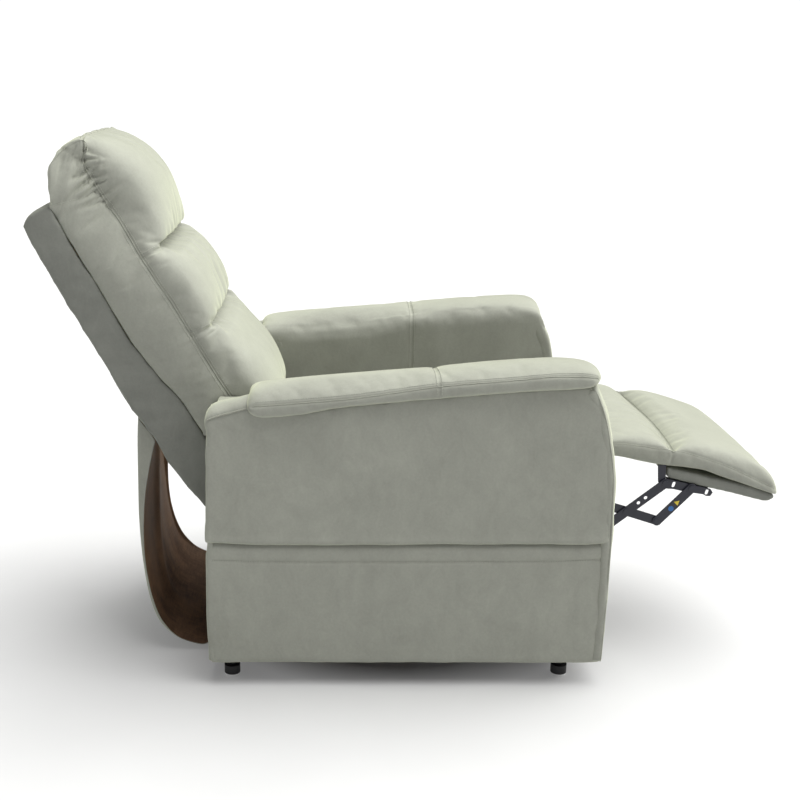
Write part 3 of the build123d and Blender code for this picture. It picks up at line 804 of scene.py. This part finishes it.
def arm_wrap():
    """The pillow pad and the arm's inner lining, in one."""
    stations = [(-336, 0.4), (-334.5, 0.66), (-330, 0.86), (-322, 0.97)] + [(f, 1.0) for f in range(-312, 338, 14)]
    stations += [(340 + 31 * t, math.sqrt(1 - t * t)) for t in (0.0, 0.2, 0.4, 0.6, 0.75, 0.87, 0.95, 0.985)]
    pad = tube_of_rings([pad_section(f, g) for f, g in stations])
    inner = [(-325, 330), (402, 330), (402, 357), (403, 422), (402, 470), (400, 528), (394, 575), (386, 618),
             (376, 652), (366, 668), (350, 676)]
    inner += [(f, float(pad_inner(f)) - 8) for f in range(320, -326, -30)]
    obj = make("arm_wrap_left", *together(pad, slab(inner, ARM_IN - 1, ARM_IN + 12)), FABRIC)
    remesh(obj, 6.0, 5)
    x, f, z = (coords(obj) / TO_METRES).T
    hold = ((z < pad_bottom(f) + 1) & (x > ARM_IN + 16)) * 1.0
    hold = np.maximum(hold, nearness(obj, curve([(PAD_OUT - 4, p[0], p[1]) for p in PAD_SEAM[1:]]), 5))
    hold = np.maximum(hold, np.clip((pad_inner(f) - 22 - z) / 20, 0, 1))
    across = [(ARM_IN, 330), (ARM_IN - 1, 652), (ARM_IN + 60, 672), (PAD_OUT - 4, 664), (PAD_OUT - 2, 640)]
    hold = np.maximum(hold, nearness(obj, straight([(a, ARM_SEAM, b) for a, b in across]), 4) * 0.8)
    puff(obj, 3.0, 7.0, hold, slack=0.01, fallback=1.5)
    relax(obj, 2, 0.5)
    ripple(obj, 1.0, 150, 11, (x < ARM_IN + 20) * 1.0)
    subdivide(obj)
    return obj


def rear_top():
    """The arm's top behind its pad, sloping to both sides but never under the arm's frame."""
    ridge, frame_outside, frame_rear, frame_top = 365, 388, -405, 598
    outline = [(-419, 560), (-421, 596), (-414, 607), (-404, 613), (-382, 620), (-341, 631), (-300, 640), (-284, 640),
               (-280, 600), (-280, 560)]
    obj = make("arm_rear_top_left", *slab(outline, ARM_IN + 1, ARM_OUT + 0.5), FABRIC)
    remesh(obj, 5.0, 3)
    co = coords(obj)
    x, f, z = (co / TO_METRES).T
    top = np.clip((z - 572) / 25, 0, 1)
    inward, outward = np.clip((ridge - x) / 111, 0, 1), np.clip((x - ridge) / 40, 0, 1)
    lowered = z - top * (30 * inward**1.3 + 14 * outward**2)
    over_frame = (x < frame_outside) & (f > frame_rear)
    co[:, 2] = np.where(over_frame, np.maximum(lowered, np.minimum(z, frame_top)), lowered) * MM
    set_coords(obj, co)
    ripple(obj, 0.8, 90, 17)
    subdivide(obj)
    return obj


def rear_lining():
    """The covered board inside the arm, behind its pad."""
    outline = [(-419, 320), (-420, 560), (-414, 580), (-290, 580), (-290, 320)]
    obj = make("arm_rear_lining_left", *slab(outline, ARM_IN + 1.5, ARM_IN + 10.5), FABRIC)
    remesh(obj, 4.0, 2)
    return obj


lining_left, top_left, wrap_left = rear_lining(), rear_top(), arm_wrap()
BOXING = curve([(PAD_OUT - 4, f, z) for f, z in PAD_SEAM[1:]])
MIDDLE = straight([(x, ARM_SEAM, z) for x, z in (
    (ARM_IN - 2, 470), (ARM_IN - 2, 641), (ARM_IN + 12, 664), (ARM_IN + 60, 675), (ARM_IN + 120, 680),
    (PAD_OUT - 12, 671), (PAD_OUT - 3, 662), (PAD_OUT, 643))], 4.0)
tree = surface(wrap_left)
for seam, depth in ((BOXING, 1.6), (MIDDLE, 1.8)):
    groove(wrap_left, onto(tree, seam)[0], depth, 3.0)
tree = surface(wrap_left)
welt = onto(tree, BOXING, 0.2)
rows = [onto(tree, seam, 0.3) for seam in (MIDDLE + (0, -5, 0), MIDDLE + (0, 5, 0), BOXING + (-7, 0, 5))]
for s, name in SIDES:
    trim(of_side(lining_left, s), "carriage")
    upholstered(of_side(top_left, s), "carriage", ["arm_rears"])
    upholstered(of_side(wrap_left, s), "carriage", [f"arm_pad_{name}", "arm_linings"])
    trim(piping(f"arm_pad_welt_{name}", turned(welt, s)[0], 1.1, FABRIC), "carriage")
    trim(stitches(f"arm_wrap_stitching_{name}", [turned(row, s) for row in rows], THREAD), "carriage")


def end_curl(f):
    """1 at the arm's two ends, falling to 0 between them."""
    return np.exp(-((f - ARM_REAR) / 60) ** 2) + np.exp(-((f - ARM_FRONT) / 60) ** 2)


def side_panel():
    """The outside panel, with a slight crown and a lip at its lower edge."""
    outline = [(-426, STEP_Z - 2), (-427, 332), (-425, 400), (-423, 465), (-418, 580), *PANEL_TOP, (350, 657),
               *FRONT_EDGE[1:7], (405, STEP_Z - 2)]
    obj = make("side_panel_cover_left", *slab(outline, ARM_OUT - 18, ARM_OUT), FABRIC)
    remesh(obj, 6.0, 3)
    co = coords(obj)
    x, f, z = (co / TO_METRES).T
    outer = (x > ARM_OUT - 8) * 1.0
    across = np.clip((z - STEP_Z) / 300, 0, 1)
    crown = np.sin(math.pi * np.clip((f - ARM_REAR) / 828, 0, 1)) * np.sin(math.pi * across) * 3.0
    co[:, 0] += outer * crown * MM
    set_coords(obj, co)
    ripple(obj, 0.9, 190, 21, outer)
    ripple(obj, 0.5, 60, 22, outer)
    co = coords(obj)
    co[:, 0] += outer * np.exp(-(((z - STEP_Z - 7) / 7) ** 2)) * 3.0 * MM
    co[:, 2] += end_curl(f) * np.clip(1 - (z - STEP_Z) / 30, 0, 1) * 3 * MM
    set_coords(obj, co)
    subdivide(obj)
    return obj


def apron():
    """The lower panel, tucked in under the side panel's lip."""
    outline = [(-424, STEP_Z), (-427, 291), (-429, 156), (-427, 110), (-422, 53), (402, BOTTOM_Z - 3), (406, 201),
               (406, STEP_Z)]
    obj = make("apron_cover_left", *slab(outline, 384, 401.5), FABRIC)
    remesh(obj, 6.0, 3)
    x, _, z = (coords(obj) / TO_METRES).T
    outer = (x > 394) * 1.0
    ripple(obj, 0.7, 200, 31, outer)
    ripple(obj, 0.4, 60, 32, outer)
    co = coords(obj)
    tuck, band = np.exp(-(((z - STEP_Z) / 9) ** 2)) * 3.0, np.clip((z - 295) / 6, 0, 1) * 0.8
    co[:, 0] += outer * (band - tuck) * MM
    co[:, 2] += end_curl(-co[:, 1] / MM) * np.clip(1 - (STEP_Z - z) / 30, 0, 1) * 4 * MM
    set_coords(obj, co)
    subdivide(obj)
    return obj


panel_left, apron_left = side_panel(), apron()
FACET = curve([(ARM_OUT, f, z) for f, z in ((-418, 586), (-412, 592), (-390, 600), (-360, 608), (-328, 617))])
STITCH_ROW = straight([(401, f, z) for f, z in ((-420, 288), (-232, 284), (36, 284), (303, 286), (400, 289))])
groove(apron_left, STITCH_ROW, 2.4, 2.6)
row = onto(surface(apron_left), STITCH_ROW, 0.1)
for s, name in SIDES:
    upholstered(of_side(panel_left, s), "carriage", [f"side_panel_{name}"])
    upholstered(of_side(apron_left, s), "carriage", [f"apron_{name}"])
    trim(stitches(f"apron_stitching_{name}", [turned(row, s)], THREAD), "carriage")
    trim(piping(f"arm_rear_welt_{name}", turned([FACET], s)[0], 1.5, FABRIC), "carriage")


def front_strip():
    """The boxing that wraps the arm's front, from under the pad to the bottom edge."""
    outer = curve(FRONT_EDGE, 80)
    way = np.gradient(outer, axis=0)
    way /= np.linalg.norm(way, axis=1)[:, None]
    out = np.column_stack([-way[:, 1], way[:, 0]])
    out *= np.sign(out[:, :1] + 1e-9)
    corner = [(373, 13), (395, 7), (402, 3), (404.5, -2), (405, -9)]
    low_shape = curve([(253, -9), (253.5, -2), (256, 3), (263, 7), (285, 13), (329, 16), *corner], 40)
    high_shape = curve([(253, -9), (252.5, 4), (254, 11), (262, 16), (285, 19), (329, 18), *corner], 40)
    rings = []
    for (f, z), (n_f, n_z) in zip(outer, out):
        full = np.interp(z, [56, 200, 330, 600, 657], [0.55, 0.6, 0.85, 1.0, 0.8])
        shape = low_shape + (high_shape - low_shape) * np.clip((z - 430) / 130, 0, 1)
        ring = [(x, f + n_f * d * full, z + n_z * d * full) for x, d in shape]
        ring += [(x, f - n_f * 18, z - n_z * 18) for x in np.linspace(402, 256, 18)]
        rings.append(ring)
    obj = make("arm_front_cover_left", *tube_of_rings(rings), FABRIC)
    ripple(obj, 0.8, 80, 41)
    subdivide(obj)
    return obj


def rear_strip():
    """The boxing behind the arm, with the same step as its side."""
    rings = []
    shape = curve([(256, 4), (256.5, -2), (262, -6), (300, -7), (360, -7), (395, -6), (400.5, -2), (401, 4)], 30)
    line = [(-418, 57), (-420, 110), (-421, 156), (-420, 291), (-418, 332), (-416, 465), (-413, 560), (-413, 586)]
    for f, z in curve(line, 130):
        lip = 3.0 * math.exp(-(((z - STEP_Z - 8) / 6) ** 2)) - 2.5 * math.exp(-(((z - STEP_Z + 3) / 5) ** 2))
        ring = [(x, f + d - lip, z) for x, d in shape]
        ring += [(x, f + 9, z) for x in np.linspace(400, 257, 18)]
        rings.append(ring)
    obj = make("arm_rear_cover_left", *tube_of_rings(rings), FABRIC)
    ripple(obj, 0.8, 90, 43)
    subdivide(obj)
    return obj


front_left, rear_left = front_strip(), rear_strip()
for s, name in SIDES:
    upholstered(of_side(front_left, s), "carriage", ["arm_fronts"])
    upholstered(of_side(rear_left, s), "carriage", ["arm_rears"])
    welt = curve([(s * 403.2, f + 0.5, z) for f, z in FRONT_EDGE[:-1]] + [(s * 403.2, 401, 60)])
    trim(piping(f"arm_front_welt_{name}", welt, 2.0, FABRIC), "carriage")


def front_rail():
    obj = make("front_rail_cover", *slab([(401, 54), (427, 54), (427, 99), (401, 99)], -267, 267), FABRIC)
    remesh(obj, 5.0, 3)
    ripple(obj, 0.8, 100, 19)
    return obj


upholstered(front_rail(), "carriage", [])


# ---------------- seat cushion
def seat_cushion():
    top = height_of([(-238, 458), (-226, 474), (-190, 484), (-100, 491), (100, 499), (300, 501), (380, 497), (404, 486),
                     (412, 466)])
    rings = []
    for f in np.concatenate([[-238, -236, -230], np.arange(-222, 404, 8), [406, 409.5, 411.5]]):
        up = float(top(f))
        end = min(1.0, (min(f + 240, 414 - f)) / 14)
        low = 413 + (1 - end) * 12
        half = SEAT_HALF - (1 - end) * 8
        rise = [(half - 1, low + 3), (half, low + 20), (half - 0.5, up - 24), (half - 6, up - 13), (half - 26, up - 5),
                (half * 0.6, up - 1)]
        line = curve([(-x, z) for x, z in rise] + [(0, up)] + rise[::-1], 60)
        bottom = [(x, f, low) for x in np.linspace(half - 6, -half + 6, 30)]
        rings.append([(x, f, z) for x, z in line] + bottom)
    obj = make("seat_cushion_cover", *tube_of_rings(rings), FABRIC)
    hold = (coords(obj)[:, 2] < 416 * MM) * 1.0
    for path in seat_seams():
        hold = np.maximum(hold, nearness(obj, path, 5))
    puff(obj, 4.0, 12.0, hold, slack=0.02, fallback=3.0)
    relax(obj, 1, 0.4)
    subdivide(obj)
    return obj


def seat_seams():
    """The seams along both sides and across the front."""
    z = height_of([(-238, 446), (-100, 470), (100, 478), (300, 480), (380, 476), (411, 460)])
    sides = [straight([(s * (SEAT_HALF - 1), f, float(z(f))) for f in range(-230, 409, 20)]) for s in (-1, 1)]
    return sides + [straight([(-SEAT_HALF + 3, 411, 462), (SEAT_HALF - 3, 411, 462)])]


seat = seat_cushion()
seat_tree = surface(seat)
for k, path in enumerate(seat_seams()):
    welt, _ = onto(seat_tree, path, 0.2)
    groove(seat, welt, 1.5, 3.5)
    trim(piping(f"seat_cushion_welt_{k + 1}", welt, 2.0, FABRIC), "carriage")
upholstered(seat, "carriage", ["seat_cushion"])


def seat_tail():
    """The thin padded flap that runs back from the seat, under the back cushion."""
    outline = [(-234, 470), (-256, 463), (-286, 452), (-304, 442), (-307, 436), (-302, 431), (-286, 438), (-256, 448),
               (-234, 452)]
    obj = make("seat_tail", *slab(outline, -247, 247), FABRIC)
    remesh(obj, 5.0, 3)
    ripple(obj, 1.2, 90, 53)
    subdivide(obj)
    return obj


upholstered(seat_tail(), "carriage", ["seat_cushion"])


# ---------------- chaise pad
CHAISE = [  # forward, top at the middle, top seam at the side, bottom
    (413, 496, 486, 466), (430, 501, 491, 463), (462, 503, 491, 458), (500, 499, 486, 449), (530, 494, 481, 443),
    (550, 486, 480, 440), (566, 465, 479, 438), (582, 479, 475, 437), (606, 484, 468, 434), (640, 477, 457, 428),
    (680, 465, 443, 413), (722, 452, 424, 399), (765, 437, 403, 384), (785, 423, 393, 377.5), (797, 406, 386, 373),
    (803, 391, 380, 374),
]
CHAISE_SEAM = 566.0


def chaise():
    """The pad from the seat to the footrest's tip, held at its seams and underneath."""
    across, down, under = 66, (0.2, 0.4, 0.6, 0.8), 26
    line = curve(CHAISE, 72)
    rings = []
    for f, mid, seam, low in line:
        tip = np.clip((803.5 - f) / 16, 0.0, 1.0) ** 0.5
        back = np.clip((f - 408) / 14, 0.45, 1.0)
        half = BACK_HALF - 1 - (1 - tip) * 16 - (1 - back) * 6
        half_top = [(half - inset, seam + (mid - seam) * share)
                    for inset, share in ((0, 0), (2, 0.35), (9, 0.66), (26, 0.88), (half * 0.4, 0.97))]
        top = curve([(-x, z) for x, z in half_top] + [(0, mid)] + half_top[::-1], across)
        side = [(half + 1.5 * math.sin(math.pi * t), seam + (low - seam) * t) for t in down]
        bow = 15 * math.exp(-(((f - CHAISE_SEAM) / 34) ** 2))
        ring = [(x, f + bow * (1 - (x / half) ** 2), z) for x, z in top] + [(x, f, z) for x, z in side]
        ring += [(x, f, low) for x in np.linspace(half - 1, -half + 1, under)]
        rings.append(ring + [(-x, f, z) for x, z in side[::-1]])
    columns = len(rings[0])
    obj = make("chaise_pad_cover", *tube_of_rings(rings), FABRIC)
    hold = np.zeros((len(rings), columns))
    hold[:, across + len(down):across + len(down) + under] = 1
    hold[:, (0, across - 1)] = 1
    hold[:3] = hold[-2:] = 1
    seam_row, tip_row = (int(np.argmin(abs(line[:, 0] - f))) for f in (CHAISE_SEAM, 796))
    hold[seam_row, :across] = 1
    hold[tip_row, :across] = 0.6
    puff(obj, 4.0, 9.0, hold.ravel(), slack=0.012, fallback=2.0)
    relax(obj, 1, 0.4)
    grid = coords(obj).reshape(len(rings), columns, 3) / TO_METRES
    seams = {"right": grid[2:-2, 0], "left": grid[2:-2, across - 1], "cross": grid[seam_row, :across]}
    subdivide(obj)
    groove(obj, seams["cross"], 3.0, 5)
    for s in (-1, 1):
        groove(obj, straight([(s * 247, CHAISE_SEAM, 476), (s * 247, CHAISE_SEAM - 3, 438)]), 1.8, 3.0)
    groove(obj, seams["right"], 1.5, 3)
    groove(obj, seams["left"], 1.5, 3)
    return obj, seams


pad, pad_seams = chaise()
pad_tree = surface(pad)
upholstered(pad, None, ["calf_pad", "footrest_pad"])
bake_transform(pad)
for key in ("right", "left"):
    welt, _ = onto(pad_tree, pad_seams[key], -0.3)
    obj = piping(f"chaise_pad_welt_{key}", welt, 1.0, FABRIC)
    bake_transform(obj)
rows = [onto(pad_tree, pad_seams["cross"] + (0, shift, 0), 0.3) for shift in (-6, 6)]
trim(stitches("chaise_pad_stitching", rows, THREAD), "ottoman")


def footrest_board():
    outline = [(557.5, 437), (558.5, 412), (620, 397), (700, 377), (775, 358), (786, 359), (795, 365), (798, 370),
               (790, 375), (757, 388), (700, 403.5), (640, 417), (580, 431)]
    # The board cover takes the darker suede, whose colour is painted shade.
    obj = make("footrest_board_cover", *slab(outline, -242, 242), SHADED)
    remesh(obj, 5.0, 4)
    ripple(obj, 0.8, 110, 51)
    subdivide(obj)
    return obj


upholstered(footrest_board(), "ottoman", ["footrest_board"])


# ---------------- rear skirt
SKIRT_OUT = [(-581, 545), (-584, 493), (-586, 402), (-587, 309), (-582, 214), (-571, 130), (-553, 72), (-527, 40),
             (-494, 22), (-464, 11), (-442, 10), (-430, 24), (-427, 58), (-427, 90)]
SKIRT_IN = [(-536, 490), (-541, 478), (-558, 414), (-571, 340), (-576, 236), (-567, 152), (-551, 92), (-532, 57),
            (-505, 29), (-466, 15), (-446, 14), (-434, 28), (-431, 60), (-430, 90)]


def rear_skirt():
    """The slack cloth from the outside back down to the rear rail, with both side edges turned in."""
    rows, half, turn = 110, 226.0, (0.0, 0.35, 0.7)
    out, inside = curve(SKIRT_OUT, rows), curve(SKIRT_IN, rows)
    rng = np.random.default_rng(7)
    phase = rng.uniform(0, 6.28, 6)
    flat = np.linspace(-1, 1, 61)
    points = []
    for i, (o, n) in enumerate(zip(out, inside)):
        t = i / (rows - 1)
        sag = math.sin(math.pi * t)
        hollow = 26 * math.sin(math.pi * min(1.0, max(0.0, (t - 0.5) / 0.5)))
        row = [(-half + 9 * math.sin(math.pi * a / 2) - 9, *(n + (o - n) * a)) for a in turn]
        for u in flat:
            wave = sum(math.sin(u * (2 + k) * 1.9 + phase[k] + t * (1 + k)) / (k + 1.5) for k in range(6))
            edge = (1 - u * u) ** 0.5
            pleat = 9.0 * math.exp(-(((u - 0.85 + 1.5 * t) / 0.13) ** 2)) * sag * edge
            lift = hollow * max(0.0, u)
            row.append((u * half, o[0] + wave * 3.0 * sag * edge + pleat, o[1] + wave * 1.2 * sag * edge + lift))
        row += [(half - 9 * math.sin(math.pi * a / 2) + 9, *(n + (o - n) * a + (0, hollow))) for a in turn[::-1]]
        points += row
    obj = make("rear_skirt_cloth", points, ring_faces(rows, len(row), wrap=False), FABRIC, outward=False)
    obj.data.materials.append(LINING)
    return obj


skirt = rear_skirt()
facing = np.mean([p.normal for p in skirt.data.polygons], axis=0)
if facing[1] < 0:
    skirt.data.flip_normals()
relax(skirt, 2)
thick = skirt.modifiers.new("cloth", "SOLIDIFY")
thick.thickness = 2.2 * MM
thick.offset = -1.0
thick.material_offset = 1
bake(skirt)
subdivide(skirt)
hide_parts("rear_skirt")
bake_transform(skirt)


# ---------------- handset pocket
def pocket():
    rings = []
    outer = [(404.2, 226), (417.5, 226), (420.6, 227.2), (421.8, 230.5), (421.9, 258), (421.8, 285.5), (420.6, 288.8),
             (417.5, 290), (404.2, 290)]
    inner = [(404.2, 288.5), (419, 288.5), (420.5, 287), (420.5, 258), (420.5, 229), (419, 227.5), (404.2, 227.5)]
    path = [*straight(outer, 3.0), *straight(inner, 3.0)]
    for z in (421, 425, 435, 450, 465, 472, 473, 478, 480):
        band = 0.4 if 473 <= z < 480 else 0.0
        rings.append([(x + (band if x > 421 else 0), f, z + 3 * ((f - 258) / 32) ** 2 - 2) for x, f in path])
    return make("handset_pocket_cover", *tube_of_rings(rings), FABRIC)


pouch = pocket()
upholstered(pouch, "carriage", ["handset_pocket"])
tree = surface(pouch)
hem = [onto(tree, straight([(422.3, f, z) for f in range(230, 287, 8)]), 0.3) for z in (470, 476)]
trim(stitches("handset_pocket_stitching", hem, THREAD, 3.5, 2.4, 0.4), "carriage")


# ---------------- plain marks on the front links
def mark(name, outline, x_low, x_high, material):
    obj = make(name, *slab(outline, x_low, x_high), material, smooth=False)
    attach(obj, "front_link")


def around(f, z, radius, turns):
    return [(f + radius * math.cos(a), z + radius * math.sin(a)) for a in turns]


DOT = around(572.0, 343.5, 6, np.linspace(0, 2 * math.pi, 32, endpoint=False))
TRIANGLE = around(584.0, 357.0, 7, (0.75, 2.85, 4.95))
for s, name in SIDES[::-1]:
    a, b = sorted((s * 246.05, s * 246.45))
    mark(f"blue_mark_{name}", DOT, a, b, BLUE)
    mark(f"yellow_mark_{name}", TRIANGLE, a, b, YELLOW)


# ---------------- floor and light
def plane(name, size, z, material):
    mesh = bpy.data.meshes.new(name)
    mesh.from_pydata([(-size, -size, z), (size, -size, z), (size, size, z), (-size, size, z)], [], [(0, 1, 2, 3)])
    mesh.materials.append(material)
    obj = bpy.data.objects.new(name, mesh)
    scene.collection.objects.link(obj)


# The floor glows a little outside an ellipse under the chair. This painted glow lightens its shadows and leaves a
# painted shadow under the chair, which stays dark and fades out at its edge.
n = Nodes("pale_floor", Specular_IOR_Level=0.1, Emission_Color=(1.0, 1.0, 1.0, 1.0))
speckle = n.noise(3.0, 3.0)
shrink = n.add("ShaderNodeVectorMath", operation="MULTIPLY")
shrink.inputs[1].default_value = (1 / 0.42, 1 / 0.46, 0.0)
n.link(n.where, shrink, "Vector")
outside = n.add("ShaderNodeVectorMath", operation="LENGTH")
n.link(shrink.outputs["Vector"], outside, "Vector")
# Painted light: the emission rises from none inside the ellipse to 0.14 outside it.
n.link(n.spread(outside.outputs["Value"], 0.75, 1.02, 0.0, 0.14), n.shader, "Emission Strength")
floor_colour = n.ramp(speckle, (0.3, (0.51, 0.51, 0.515)), (0.7, (0.53, 0.53, 0.535)))
plane("floor", 20.0, -0.5 * MM, n.finish(floor_colour, n.ramp(speckle, (0.3, 0.85), (0.7, 0.9))))

# White behind the chair, and a dimmer even light on it.
world = bpy.data.worlds.new("studio")
world.use_nodes = True
sky = world.node_tree
seen = sky.nodes.new("ShaderNodeLightPath")
level = sky.nodes.new("ShaderNodeMapRange")
level.inputs["To Min"].default_value = 0.30
level.inputs["To Max"].default_value = 1.05
sky.links.new(seen.outputs["Is Camera Ray"], level.inputs["Value"])
sky.links.new(level.outputs["Result"], sky.nodes["Background"].inputs["Strength"])
sky.nodes["Background"].inputs["Color"].default_value = (1.0, 1.0, 1.0, 1.0)
scene.world = world

sun = bpy.data.lights.new("softbox", "SUN")
sun.energy = 6.1
sun.angle = math.radians(78)
sun.color = (1.0, 1.0, 0.975)
sun_object = bpy.data.objects.new("softbox", sun)
sun_object.rotation_euler = Vector((-0.2, 0.54, -1.0)).to_track_quat("-Z", "Y").to_euler()
scene.collection.objects.link(sun_object)
